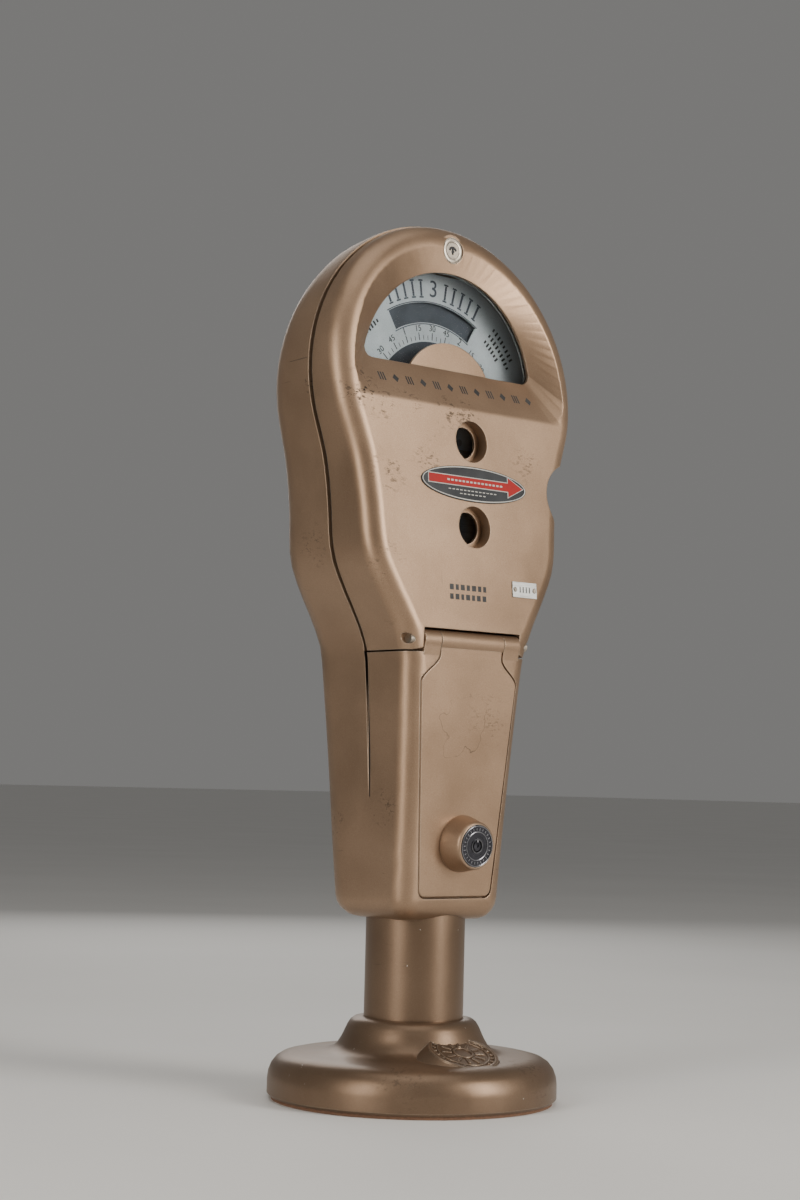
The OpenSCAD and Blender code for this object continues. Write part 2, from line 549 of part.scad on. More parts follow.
// ---------------------------------------------------------------- vault door and its lock
lock_x = 2;
lock_z = vault_z + 46;
module vault_door() color(paint) difference() {
    union() {
        loft([on_front(door_half(-0.8), 0), on_front(door_half(0), 0.8), on_front(door_half(0), door_t)]);
        xc(hinge_y, hinge_z, -door_knuckle_w, door_knuckle_w, knuckle_r);
    }
    xc(hinge_y, hinge_z, -60, 60, pin_r + fit);
    on_face(lock_x, lock_z) translate([0, 0, -20]) cylinder(r = 10 + seat, h = 40);
}
module vault_lock_collar() color(paint) on_face(lock_x, lock_z) difference() {
    rotate_extrude() polygon([[vault_lock_r + seat, seat], [collar_r, seat], [collar_r, 1.2],
        [vault_lock_r + 1.9, collar_h - 1.6], [vault_lock_r + 1.3, collar_h - 0.5],
        [vault_lock_r + 0.5, collar_h], [vault_lock_r + seat, collar_h]]);
}
module vault_lock_cylinder() color([0.16, 0.16, 0.17]) on_face(lock_x, lock_z) difference() {
    union() {
        translate([0, 0, -7.4]) cylinder(r = 10, h = 8);
        translate([0, 0, seat]) cylinder(r = vault_lock_r, h = collar_h);
    }
    translate([0, 0, -9]) cylinder(r = 6 + fit, h = 40);
}
module vault_lock_nut() color(steel) on_face(lock_x, lock_z) translate([0, 0, -door_t - 2.9]) difference() {
    cylinder(r = 13, h = 2.8, $fn = 6);
    translate([0, 0, -1]) cylinder(r = 10 + fit, h = 6);
}
cam_t = 2.5;
cam_z = -door_wall - 2 - cam_t;
module vault_lock_plug() color([0.3, 0.3, 0.31]) on_face(lock_x, lock_z) difference() {
    union() {
        translate([0, 0, -7.4]) cylinder(r = 6, h = 7.4 + collar_h);
        translate([0, 0, cam_z - 1]) cylinder(r = 3, h = -cam_z);
        translate([0, 0, cam_z - 2.4]) cylinder(r = 4.5, h = 2.3, $fn = 6);
    }
    translate([0, 0, collar_h - 5]) difference() {
        cylinder(r = 4.4, h = 6);
        cylinder(r = 3, h = 6);
    }
}
module vault_lock_cam() color(steel) on_face(lock_x, lock_z) translate([0, 0, cam_z]) cam(29, 9, cam_t, 3 + fit);

// ---------------------------------------------------------------- coin box
box_front = -21;
box_z = floor_z + clear;
slot_half = 9;
module coin_box() color(steel) difference() {
    translate([-box_w, box_front, box_z]) cube([2 * box_w, box_d, box_h]);
    translate([-box_w + box_t, box_front + box_t, box_z + box_t])
        cube([2 * (box_w - box_t), box_d - 2 * box_t, box_h]);
}
module coin_box_lid() color(steel) difference() {
    union() {
        translate([-box_w, box_front, box_z + box_h + seat]) cube([2 * box_w, box_d, 1.2]);
        translate([-box_w + box_t + seat, box_front + box_t + seat, box_z + box_h - 3])
            cube([2 * (box_w - box_t - seat), box_d - 2 * (box_t + seat), 3.5]);
    }
    translate([-box_w + box_t + 1.5, box_front + box_t + 1.5, box_z + box_h - 4])
        cube([2 * (box_w - box_t - 1.5), box_d - 2 * (box_t + 1.5), 4]);
    translate([chute_x - slot_half, chute_y - 4, box_z + box_h - 5]) cube([2 * slot_half, 8, 12]);
}
module coin_box_handle() color(steel) translate([0, box_front, box_z + box_h - 16]) difference() {
    translate([-14, -4, 0]) cube([28, 4 - 0.02, 10]);
    translate([-10, -2.8, -1]) cube([20, 5, 12]);
}

// ---------------------------------------------------------------- clockwork
function teeth(n, m) = [for (i = [0:n - 1], k = [[-0.3, -1.2], [-0.21, 0], [-0.1, 0.85], [0.1, 0.85], [0.21, 0], [0.3, -1.2]])
    let (a = (i + k[0]) * 360 / n, r = m * (n / 2 + k[1])) [r * cos(a), r * sin(a)]];
// gear in the XZ plane between y0 and y1, turned by phase
module gear(p, n, m, y0, y1, phase, bore) difference() {
    translate([p[0], y1, p[1]]) rotate([90, 0, 0]) rotate([0, 0, phase]) linear_extrude(y1 - y0) polygon(teeth(n, m));
    yc(p[0], p[1], y0 - 1, y1 + 1, bore);
}
// phase of the second gear so that its gap meets the first gear's tooth along direction dir
function in_mesh(dir, phase, na, nb) =
    dir + 180 + ((dir - phase) % (360 / na)) * na / nb + 180 / nb;
time_n = 60;
barrel_n = 40;
pinion_n = 12;
second_n = 48;
fine_mod = 0.7 * main_mod;
time_p = [0, head_z - 19];
second_dir = -67;
second_p = time_p + main_mod * (time_n + pinion_n) / 2 * [cos(second_dir), sin(second_dir)];
escape_dir = 205;
escape_p = second_p + fine_mod * (second_n + pinion_n) / 2 * [cos(escape_dir), sin(escape_dir)];
barrel_dir = 196;
barrel_p = time_p + main_mod * (time_n + barrel_n) / 2 * [cos(barrel_dir), sin(barrel_dir)];
escape_r = 12;
pallet_dir = 197;
pallet_p = escape_p + (escape_r + 6) * [cos(pallet_dir), sin(pallet_dir)];
balance_p = pallet_p + 18 * [cos(pallet_dir), sin(pallet_dir)];
main_y = back_plate_y - 6;
fine_y = plate_y + plate_t + 4;
arbor_ends = [plate_y - 1, back_plate_y + plate_t + 1];
small_r = 1.5;

module plate_outline() polygon([[-60, head_z - 77], [-54, head_z - 83], [54, head_z - 83], [60, head_z - 77],
    [60, head_z + 1], [54, head_z + 7], [-54, head_z + 7], [-60, head_z + 1]]);
module movement_plate(y, big) color(brass) difference() {
    yplate(y, y + plate_t) plate_outline();
    for (p = pillar_pts) yc(p[0], p[1], y - 1, y + plate_t + 1, 2 + fit);
    yc(time_p[0], time_p[1], y - 1, y + plate_t + 1, arbor_r + fit);
    for (p = [second_p, escape_p, pallet_p, balance_p, barrel_p]) yc(p[0], p[1], y - 1, y + plate_t + 1, small_r + fit);
    if (big) for (x = [-1, 1]) yc(34, time_p[1] - 26 + 14 * x, y - 1, y + plate_t + 1, 9);
}
module movement_front_plate() movement_plate(plate_y, false);
module movement_back_plate() movement_plate(back_plate_y, true);
module movement_pillars() color(steel) for (p = pillar_pts)
    yring(p[0], p[1], plate_y + plate_t, back_plate_y, 3.5, 2 + fit);
module movement_screws() color(steel) for (p = pillar_pts) {
    yc(p[0], p[1], plate_y - 0.1, boss_y + 3.6, 2);
    yc(p[0], p[1], plate_y - 2, plate_y - 0.02, 3.8);
}
module time_wheel() color(brass) {
    yc(time_p[0], time_p[1], dial_y - 4.4, arbor_ends[1], arbor_r);
    gear(time_p, time_n, main_mod, main_y, main_y + 2, 0, arbor_r - 0.5);
    yc(time_p[0], time_p[1], main_y - 2, main_y + 0.1, 5);
}
module second_wheel() color(brass) {
    yc(second_p[0], second_p[1], arbor_ends[0], arbor_ends[1], small_r);
    gear(second_p, pinion_n, main_mod, main_y - 0.5, main_y + 2.5, in_mesh(second_dir, 0, time_n, pinion_n), small_r - 0.5);
    gear(second_p, second_n, fine_mod, fine_y, fine_y + 1.6, 0, small_r - 0.5);
}
module escape_wheel() color(brass) {
    yc(escape_p[0], escape_p[1], arbor_ends[0], arbor_ends[1], small_r);
    gear(escape_p, pinion_n, fine_mod, fine_y - 0.5, fine_y + 2.1, in_mesh(escape_dir, 0, second_n, pinion_n), small_r - 0.5);
    difference() {
        translate([escape_p[0], fine_y + 6, escape_p[1]]) rotate([90, 0, 0]) linear_extrude(1.4)
            polygon([for (i = [0:14], k = [[0, 0.78], [0.35, 0.8], [0.9, 1]]) let (a = (i + k[0]) * 24)
                escape_r * k[1] * [cos(a), sin(a)]]);
        yc(escape_p[0], escape_p[1], fine_y, fine_y + 9, small_r - 0.5);
        for (a = [0:72:288]) yc(escape_p[0] + 5.4 * cos(a), escape_p[1] + 5.4 * sin(a), fine_y, fine_y + 9, 2.2);
    }
}
module bar(a, b, w, y0, y1) translate([a[0], y1, a[1]]) rotate([90, 0, 0])
    rotate([0, 0, atan2(b[1] - a[1], b[0] - a[0])]) translate([0, -w / 2, 0]) cube([norm(b - a), w, y1 - y0]);
module pallet_lever() color(steel) {
    yc(pallet_p[0], pallet_p[1], arbor_ends[0], arbor_ends[1], small_r);
    yc(pallet_p[0], pallet_p[1], fine_y + 4.4, fine_y + 6.2, 3);
    for (s = [-1, 1]) {
        tip = escape_p + (escape_r + 1.7) * [cos(pallet_dir + 34 * s), sin(pallet_dir + 34 * s)];
        bar(pallet_p, tip, 1.8, fine_y + 4.6, fine_y + 6);
    }
    bar(pallet_p, pallet_p + 13 * [cos(pallet_dir), sin(pallet_dir)], 1.6, fine_y + 4.6, fine_y + 6);
}
balance_r = 10;
module balance_wheel() color(brass) {
    yc(balance_p[0], balance_p[1], arbor_ends[0], arbor_ends[1], small_r);
    yring(balance_p[0], balance_p[1], fine_y + 8, fine_y + 9.6, balance_r, balance_r - 1.8);
    for (a = [0, 90]) bar(balance_p - (balance_r - 1) * [cos(a), sin(a)], balance_p + (balance_r - 1) * [cos(a), sin(a)],
        1.6, fine_y + 8.2, fine_y + 9.4);
}
spring_turns = 4;
function coil(s, d) = let (r = 2.75 + 5.2 * s / spring_turns + d) [r * cos(360 * s), r * sin(360 * s)];
module hairspring() color([0.25, 0.3, 0.45]) translate([balance_p[0], fine_y + 11.6, balance_p[1]]) rotate([90, 0, 0])
    linear_extrude(0.9) polygon(concat([for (s = [0:0.04:spring_turns]) coil(s, 0.15)],
        [for (s = [spring_turns:-0.04:0]) coil(s, -0.15)]));
module hairspring_collet() color(brass) yring(balance_p[0], balance_p[1], fine_y + 10.5, fine_y + 12, 2.5, small_r + 0.02);
module mainspring_barrel() color(brass) {
    yc(barrel_p[0], barrel_p[1], arbor_ends[0], arbor_ends[1], small_r);
    gear(barrel_p, barrel_n, main_mod, main_y, main_y + 2, in_mesh(barrel_dir, 0, time_n, barrel_n), small_r - 0.5);
    yc(barrel_p[0], barrel_p[1], main_y - 6, main_y + 0.1, main_mod * barrel_n / 2 - 3);
}

dial_y = seam_y + 3.5;
dial_r = head_r - 12.5;
dial_foot = [for (s = [-1, 1]) [24 * s, head_z - 34]];
slot_r = [57, 69.5];
slot_a = 31;
module sector(r0, r1, a) difference() {
    intersection() {
        circle(r = r1);
        polygon([[0, 0], 2 * r1 * [sin(-a), cos(a)], [0, 3 * r1], 2 * r1 * [sin(a), cos(a)]]);
    }
    circle(r = r0);
}
module dial_plate() color([0.82, 0.84, 0.85]) {
    yplate(dial_y, dial_y + 0.8) difference() {
        intersection() {
            translate([0, head_z - 3]) circle(r = dial_r);
            translate([-120, head_z - 38]) square([240, 107]);
        }
        translate([time_p[0], time_p[1]]) {
            circle(r = 4);
            sector(slot_r[0], slot_r[1], slot_a);
        }
        for (p = dial_foot) translate(p) circle(r = 1 + fit);
    }
    for (p = dial_foot) yring(p[0], p[1], dial_y + 0.7, plate_y, 2.5, 1 + fit);
}
module dial_screws() color(steel) for (p = dial_foot) {
    yc(p[0], p[1], dial_y - 0.05, dial_y + 6, 1);
    yc(p[0], p[1], dial_y - 1, dial_y - 0.02, 2.2);
}
pointer_rest = 165;
module pointer() color([0.1, 0.1, 0.1]) difference() {
    union() {
        yc(time_p[0], time_p[1], dial_y - 3.4, dial_y - 1.9, 7);
        translate([time_p[0], dial_y - 2.2, time_p[1]]) rotate([90, 0, 0]) rotate([0, 0, pointer_rest])
            linear_extrude(0.9) polygon([[0, -4], [0, 4], [44, 1.6], [50, 0], [44, -1.6]]);
    }
    yc(time_p[0], time_p[1], -40, 40, arbor_r + 0.02);
}
module violation_flag() color([0.2, 0.23, 0.27]) {
    yplate(dial_y + 2.6, dial_y + 3.4) translate([time_p[0], time_p[1]]) difference() {
        union() {
            sector(slot_r[0] - 2.5, slot_r[1] + 2.5, slot_a + 2.5);
            translate([-5, 0]) square([10, slot_r[0]]);
            circle(r = 9);
        }
        circle(r = arbor_r + fit);
    }
    yring(time_p[0], time_p[1], dial_y + 3.3, dial_y + 6.4, 5, arbor_r + fit);
}

base_pad();
base_flange();
base_set_screw();
post();
post_anchor();
anchor_bolts();
rear_housing();
cover_gasket();
hinge_pin();
coin_slot_plate();
coin_chute();
rear_window();
rear_window_frame();
front_cover();
window();
window_frame();
window_screws();
hub_shield();
view_lenses();
lens_rings();
instruction_plate();
number_plate();
plate_rivets();
cover_lock_cylinder();
cover_lock_nut();
cover_lock_plug();
cover_lock_cam();
vault_door();
vault_lock_collar();
vault_lock_cylinder();
vault_lock_nut();
vault_lock_plug();
vault_lock_cam();
coin_box();
coin_box_lid();
coin_box_handle();
movement_front_plate();
movement_back_plate();
movement_pillars();
movement_screws();
time_wheel();
second_wheel();
escape_wheel();
pallet_lever();
balance_wheel();
hairspring();
hairspring_collet();
mainspring_barrel();
dial_plate();
dial_screws();
pointer();
violation_flag();
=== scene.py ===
import json
import math

import bmesh
import bpy
from mathutils import Matrix, Vector


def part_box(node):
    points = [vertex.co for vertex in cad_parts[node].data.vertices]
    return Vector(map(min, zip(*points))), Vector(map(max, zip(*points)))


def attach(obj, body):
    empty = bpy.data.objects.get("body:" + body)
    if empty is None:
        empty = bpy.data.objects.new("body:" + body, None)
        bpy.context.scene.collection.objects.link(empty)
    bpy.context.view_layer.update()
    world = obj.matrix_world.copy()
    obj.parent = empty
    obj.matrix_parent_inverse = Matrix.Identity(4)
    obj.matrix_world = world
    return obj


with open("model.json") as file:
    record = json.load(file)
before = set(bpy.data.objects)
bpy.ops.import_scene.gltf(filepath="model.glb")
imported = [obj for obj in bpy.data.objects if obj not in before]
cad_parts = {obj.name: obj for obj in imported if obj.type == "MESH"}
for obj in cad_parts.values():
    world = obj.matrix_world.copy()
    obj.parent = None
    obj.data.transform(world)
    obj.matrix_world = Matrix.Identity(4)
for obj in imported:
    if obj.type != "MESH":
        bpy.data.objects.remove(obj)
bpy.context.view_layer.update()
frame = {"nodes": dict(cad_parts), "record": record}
NODES = frame["nodes"]
MM = 0.001

# ------------------------------------------------------------------ places taken from the frame
COVER_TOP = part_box("front_cover")[1].z
DIAL_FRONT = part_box("dial_plate")[0].y
TOP_LOCK_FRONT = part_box("cover_lock_plug")[0].y
POST_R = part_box("post")[1].x
PIN_LO, PIN_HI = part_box("hinge_pin")
PLATE_LO, PLATE_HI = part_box("instruction_plate")
TAG_LO, TAG_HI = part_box("number_plate")
VAULT_LOCK_LO, VAULT_LOCK_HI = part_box("vault_lock_cylinder")

HEAD_R = 96.5 * MM
HEAD_Z = COVER_TOP - HEAD_R
HINGE_Z = (PIN_LO.z + PIN_HI.z) / 2
BEND_Z = HINGE_Z + 5.4 * MM
FACE_DEPTH = 46.6 * MM
SILL_Z = HEAD_Z - 18 * MM
SILL_DEPTH = 15.5 * MM
SILL_TOP = HEAD_Z + 6 * MM
VAULT_SLOPE = -0.073
HEAD_SLOPE = 0.087
PLATE_OUT = 0.83 * MM
VAULT_LOCK_Z = 155 * MM
VAULT_LOCK_OUT = 14.45 * MM
TOP_LOCK_Z = 518 * MM
BADGE_OUT = 22.9 * MM
BADGE_Z = 32.8 * MM
BADGE_TURN = math.radians(-7)
BADGE_TILT = math.radians(20.3)
GROOVE_Y = -5 * MM
GROOVE_LOW = 182 * MM
GROOVE_HIGH = 268 * MM


def face_y(z):
    """Depth of the front face at height z."""
    return -FACE_DEPTH + (VAULT_SLOPE if z < BEND_Z else HEAD_SLOPE) * (z - BEND_Z)


def face_frame(x, z, out=0.0):
    """Frame on the front face: local X to the right, Y up the face, Z out of it."""
    tilt = math.atan(VAULT_SLOPE if z < BEND_Z else HEAD_SLOPE)
    turn = Matrix.Rotation(math.radians(90) - tilt, 4, "X")
    return Matrix.Translation((x, face_y(z), z)) @ turn @ Matrix.Translation((0, 0, out))


# ------------------------------------------------------------------ camera and studio
VIEW_YAW = math.radians(40.31)
VIEW_PITCH = math.radians(4.75)
VIEW_ROLL = math.radians(1.41)
FOCAL_SHARE = 2227.1 / 1200
VIEW_PLACE = (-0.8946, -1.0325, 0.1889)
FILM = 36


def make_camera():
    ahead = Vector((math.sin(VIEW_YAW) * math.cos(VIEW_PITCH), math.cos(VIEW_YAW) * math.cos(VIEW_PITCH),
                    math.sin(VIEW_PITCH)))
    side = Vector((math.cos(VIEW_YAW), -math.sin(VIEW_YAW), 0))
    up = side.cross(ahead)
    right = side * math.cos(VIEW_ROLL) + up * math.sin(VIEW_ROLL)
    top = up * math.cos(VIEW_ROLL) - side * math.sin(VIEW_ROLL)
    camera = bpy.data.objects.new("camera", bpy.data.cameras.new("camera"))
    bpy.context.scene.collection.objects.link(camera)
    basis = Matrix((right, top, -ahead)).transposed().to_4x4()
    camera.matrix_world = Matrix.Translation(VIEW_PLACE) @ basis
    camera.data.sensor_width = FILM
    camera.data.lens = FILM * FOCAL_SHARE
    bpy.context.scene.camera = camera


def make_light(name, place, target, size, power, tint):
    data = bpy.data.lights.new(name, "AREA")
    data.shape = "RECTANGLE"
    data.size, data.size_y = size
    data.energy = power
    data.color = tint
    lamp = bpy.data.objects.new(name, data)
    bpy.context.scene.collection.objects.link(lamp)
    lamp.location = place
    lamp.rotation_euler = (Vector(target) - Vector(place)).to_track_quat("-Z", "Y").to_euler()


def make_room_light():
    world = bpy.data.worlds.new("studio")
    bpy.context.scene.world = world
    world.use_nodes = True
    background = world.node_tree.nodes["Background"]
    background.inputs["Color"].default_value = (0.80, 0.79, 0.77, 1)
    background.inputs["Strength"].default_value = 0.24


def make_floor(half=40):
    corners = [(-half, -half, 0), (half, -half, 0), (half, half, 0), (-half, half, 0)]
    mesh = bpy.data.meshes.new("floor")
    mesh.from_pydata(corners, [], [(0, 1, 2, 3)])
    floor = bpy.data.objects.new("floor", mesh)
    bpy.context.scene.collection.objects.link(floor)
    floor.data.materials.append(floor_finish())


def make_studio():
    middle = (0, 0, 0.3)
    make_light("left_softbox", (-1.35, -0.25, 0.55), middle, (0.45, 1.2), 11, (1.0, 0.95, 0.88))
    make_light("right_softbox", (0.55, -1.45, 0.70), middle, (0.5, 1.1), 23, (1.0, 0.96, 0.90))
    make_light("top_fill", (-0.2, -0.3, 1.7), middle, (1.2, 1.2), 6, (1.0, 0.98, 0.95))
    make_light("back_fill", (0.8, 1.3, 0.9), middle, (1.0, 1.0), 6, (1.0, 0.98, 0.95))
    make_room_light()
    make_floor()


# ------------------------------------------------------------------ material building
class Nodes:
    """A material's node tree with short calls for the nodes used here."""

    def __init__(self, name):
        self.material = bpy.data.materials.new(name)
        self.material.use_nodes = True
        self.tree = self.material.node_tree
        self.shader = self.tree.nodes["Principled BSDF"]
        self.place = self.tree.nodes.new("ShaderNodeTexCoord").outputs["Object"]

    def add(self, kind, settings=(), **links):
        node = self.tree.nodes.new(kind)
        for key, value in dict(settings).items():
            setattr(node, key, value)
        for key, value in links.items():
            numbered = key[0] == "i" and key[1:].isdigit()
            self.feed(node.inputs[int(key[1:]) if numbered else key], value)
        return node

    def feed(self, socket, value):
        if isinstance(value, bpy.types.NodeSocket):
            self.tree.links.new(value, socket)
        else:
            socket.default_value = value

    def noise(self, scale, detail=3.0, rough=0.5, where=None):
        node = self.add("ShaderNodeTexNoise", Scale=scale, Detail=detail, Roughness=rough)
        self.feed(node.inputs["Vector"], where or self.place)
        return node.outputs["Fac"]

    def cells(self, scale):
        return self.add("ShaderNodeTexVoronoi", Scale=scale, Vector=self.place).outputs["Distance"]

    def stretch(self, scale, turn=(0, 0, 0)):
        node = self.add("ShaderNodeMapping", Vector=self.place, Scale=scale, Rotation=turn)
        return node.outputs["Vector"]

    def math(self, kind, a, b=0.0):
        return self.add("ShaderNodeMath", {"operation": kind}, i0=a, i1=b).outputs[0]

    def ramp(self, value, low, high, start=0.0, end=1.0):
        node = self.add("ShaderNodeMapRange", {"clamp": True}, Value=value)
        for key, number in (("From Min", low), ("From Max", high), ("To Min", start), ("To Max", end)):
            node.inputs[key].default_value = number
        return node.outputs[0]

    def mix(self, share, a, b):
        node = self.add("ShaderNodeMix", {"data_type": "RGBA"})
        for key, value in ((0, share), (6, a), (7, b)):
            self.feed(node.inputs[key], value)
        return node.outputs[2]

    def near(self, point, reach, fade):
        """1 close to a point, falling to 0 at reach + fade."""
        gap = self.add("ShaderNodeVectorMath", {"operation": "DISTANCE"}, i0=self.place, i1=point)
        return self.ramp(gap.outputs["Value"], reach, reach + fade, 1.0, 0.0)

    def axis(self, which):
        return self.add("ShaderNodeSeparateXYZ", Vector=self.place).outputs[which]

    def band(self, which, low, high, fade):
        """1 between low and high along an axis, fading out over fade."""
        place = self.axis(which)
        up = self.ramp(place, low - fade, low)
        down = self.ramp(place, high, high + fade, 1.0, 0.0)
        return self.math("MULTIPLY", up, down)

    def edge(self, radius):
        """1 along convex and concave edges, where the paint wears and where the edge highlight is painted."""
        soft = self.add("ShaderNodeBevel", {"samples": 4}, Radius=radius).outputs[0]
        hard = self.add("ShaderNodeNewGeometry").outputs["Normal"]
        dot = self.add("ShaderNodeVectorMath", {"operation": "DOT_PRODUCT"}, i0=soft, i1=hard)
        return self.ramp(self.math("SUBTRACT", 1.0, dot.outputs["Value"]), 0.02, 0.2)

    def bump(self, height, depth, strength=1.0, under=None):
        node = self.add("ShaderNodeBump", Height=height, Distance=depth, Strength=strength)
        if under is not None:
            self.feed(node.inputs["Normal"], under)
        return node.outputs[0]

    def surface(self, **values):
        for key, value in values.items():
            self.feed(self.shader.inputs[key.replace("_", " ")], value)
        return self.material


def rgb(r, g, b):
    return (r, g, b, 1)


def darker(colour, share):
    return tuple(c * share for c in colour[:3]) + (1,)


PAINT_LIGHT = rgb(0.40, 0.272, 0.180)
PAINT_DARK = rgb(0.29, 0.192, 0.123)
PAINT_GRAIN = rgb(0.25, 0.155, 0.092)
PAINT_FLAKE = rgb(0.88, 0.67, 0.46)
# Dark tone of the painted shade.
PAINTED_SHADE_TONE = rgb(0.035, 0.022, 0.014)
# Pale colour of the painted highlight along edges.
PAINTED_EDGE_HIGHLIGHT = rgb(0.76, 0.62, 0.48)
BARE = rgb(0.30, 0.28, 0.25)
PRIMER = rgb(0.82, 0.79, 0.74)
# Near-black colour for real scratches and scuffs, and for the painted shade in the groove.
GRIME_AND_SHADE = rgb(0.018, 0.015, 0.013)
EDGE_R = 0.9 * MM


def paint_colour(n, flake, cloud, shade):
    """Clouded enamel with dark grain and bright flakes, darkened with painted shade where shade is under 1.
    """
    colour = n.mix(n.ramp(cloud, 0.35, 0.7), PAINT_DARK, PAINT_LIGHT)
    colour = n.mix(n.ramp(flake, 0.40, 0.62, 0.0, 0.50), colour, PAINT_GRAIN)
    colour = n.mix(n.ramp(n.cells(1300), 0.02, 0.2, 0.35, 0.0), colour, PAINT_FLAKE)
    # Painted shade: mixes toward the dark tone by 1 - shade.
    return n.mix(1.0 - shade, colour, PAINTED_SHADE_TONE)


def add_scratches(n, colour):
    """Hairline scratches in two directions."""
    for turn, scale in (((0, 0.4, 0.3), (30, 30, 520)), ((0.9, -0.5, 0), (560, 26, 26))):
        line = n.noise(1.0, 6, 0.55, n.stretch(scale, turn))
        patch = n.ramp(n.noise(22, 3, 0.6), 0.56, 0.70)
        mark = n.math("MULTIPLY", n.ramp(line, 0.66, 0.70), patch)
        colour = n.mix(n.math("MULTIPLY", mark, 0.55), colour, GRIME_AND_SHADE)
    return colour


def add_scuffs(n, colour, rough, scuffs):
    """Small dark scuffs round each point, fading out with distance."""
    stain = n.ramp(n.noise(1.0, 7, 0.74, n.stretch((230, 300, 520), (0, 0.5, 0))), 0.55, 0.565)
    stain = n.math("MULTIPLY", stain, n.ramp(n.noise(75, 3, 0.6), 0.44, 0.56))
    for point, reach, fade, strength in scuffs:
        mark = n.math("MULTIPLY", n.near(point, reach, fade), stain)
        colour = n.mix(n.math("MULTIPLY", mark, strength), colour, GRIME_AND_SHADE)
        rough = n.math("ADD", rough, n.math("MULTIPLY", mark, 0.2))
    return colour, rough


def add_loop_scratch(n, colour, point, radius, width):
    """Thin wandering scratch that closes on itself round a point."""
    sway = 0.028
    warp = n.add("ShaderNodeTexNoise", Scale=70.0, Detail=2.0, Vector=n.place).outputs["Color"]
    shift = n.add("ShaderNodeVectorMath", {"operation": "SCALE"}, i0=warp, Scale=sway).outputs[0]
    spot = n.add("ShaderNodeVectorMath", {"operation": "ADD"}, i0=n.place, i1=shift).outputs[0]
    centre = [c + sway / 2 for c in point]
    gap = n.add("ShaderNodeVectorMath", {"operation": "DISTANCE"}, i0=spot, i1=centre).outputs["Value"]
    off = n.math("ABSOLUTE", n.math("SUBTRACT", gap, radius))
    patch = n.ramp(n.noise(45, 3, 0.5), 0.42, 0.56)
    mark = n.math("MULTIPLY", n.ramp(off, 0, width, 1.0, 0.0), patch)
    return n.mix(n.math("MULTIPLY", mark, 0.7), colour, GRIME_AND_SHADE)


def add_chips(n, colour, strength):
    """Small chips down to the pale primer, in a few patches."""
    chip = n.ramp(n.noise(230, 5, 0.66), 0.70, 0.71)
    chip = n.math("MULTIPLY", chip, n.ramp(n.noise(34, 2, 0.5), 0.50, 0.54))
    return n.mix(n.math("MULTIPLY", chip, strength), colour, PRIMER)


def add_groove_dirt(n, colour):
    """Painted shade: a near-black line lying in the tapering groove between the vault's two halves."""
    off = n.math("ABSOLUTE", n.math("SUBTRACT", n.axis("Y"), GROOVE_Y))
    half = n.ramp(n.axis("Z"), GROOVE_LOW, GROOVE_HIGH, 0.5 * MM, 1.5 * MM)
    inside = n.ramp(n.math("SUBTRACT", half, off), 0.0, 0.15 * MM)
    # Painted shade: darkens the groove almost to black.
    dirt = n.math("MULTIPLY", inside, n.band("Z", GROOVE_LOW, GROOVE_HIGH, 1 * MM))
    return n.mix(n.math("MULTIPLY", dirt, 0.93), colour, GRIME_AND_SHADE)


def champagne_paint(name, scuffs=(), chips=0.0, loops=(), groove=False, shade=1.0):
    """Metallic enamel: fine flake, soft clouding, worn edges with a painted edge highlight, scuffs near
    chosen points, painted shade where shade is under 1 and in the groove.
    """
    n = Nodes(name)
    flake = n.noise(1700, 3, 0.75)
    cloud = n.noise(14, 5, 0.6)
    colour = add_scratches(n, paint_colour(n, flake, cloud, shade))
    rough = n.ramp(cloud, 0.3, 0.75, 0.34, 0.46)
    # Painted highlight: a pale line along the edges stands in for the bright light on rims and crests.
    colour = n.mix(n.math("MULTIPLY", n.edge(EDGE_R), 0.5), colour, PAINTED_EDGE_HIGHLIGHT)
    wear = n.math("MULTIPLY", n.edge(EDGE_R), n.ramp(n.noise(60, 6, 0.65), 0.42, 0.60))
    colour = n.mix(n.math("MULTIPLY", wear, 0.62), colour, BARE)
    colour, rough = add_scuffs(n, colour, rough, scuffs)
    for loop in loops:
        colour = add_loop_scratch(n, colour, *loop)
    if chips:
        colour = add_chips(n, colour, chips)
    # Painted shade in the groove between the vault's halves.
    if groove:
        colour = add_groove_dirt(n, colour)
    metal = n.ramp(wear, 0, 1, 0.72, 0.9)
    round_edges = n.add("ShaderNodeBevel", {"samples": 6}, Radius=EDGE_R).outputs[0]
    under = n.bump(n.noise(520, 3, 0.6), 0.00006, 0.55, round_edges)
    grain = n.bump(flake, 0.00003, 0.5, under)
    return n.surface(Base_Color=colour, Roughness=rough, Metallic=metal, Normal=grain,
                     Coat_Weight=0.05, Coat_Roughness=0.35)


def brushed_metal(name, base, rough=0.32, turn=(0, 0, 0), dirt=0.35):
    """Bare metal with fine brush lines and a brown stain in patches."""
    n = Nodes(name)
    brush = n.noise(1.0, 4, 0.6, n.stretch((60, 60, 2400), turn))
    stain = n.noise(90, 5, 0.6)
    colour = n.mix(n.ramp(brush, 0.3, 0.7), darker(base, 0.55), base)
    colour = n.mix(n.ramp(stain, 0.5, 0.75, 0.0, dirt), colour, rgb(0.10, 0.085, 0.07))
    return n.surface(Base_Color=colour, Metallic=1.0, Normal=n.bump(brush, 0.00003, 0.5),
                     Roughness=n.ramp(stain, 0.3, 0.7, rough, rough + 0.18))


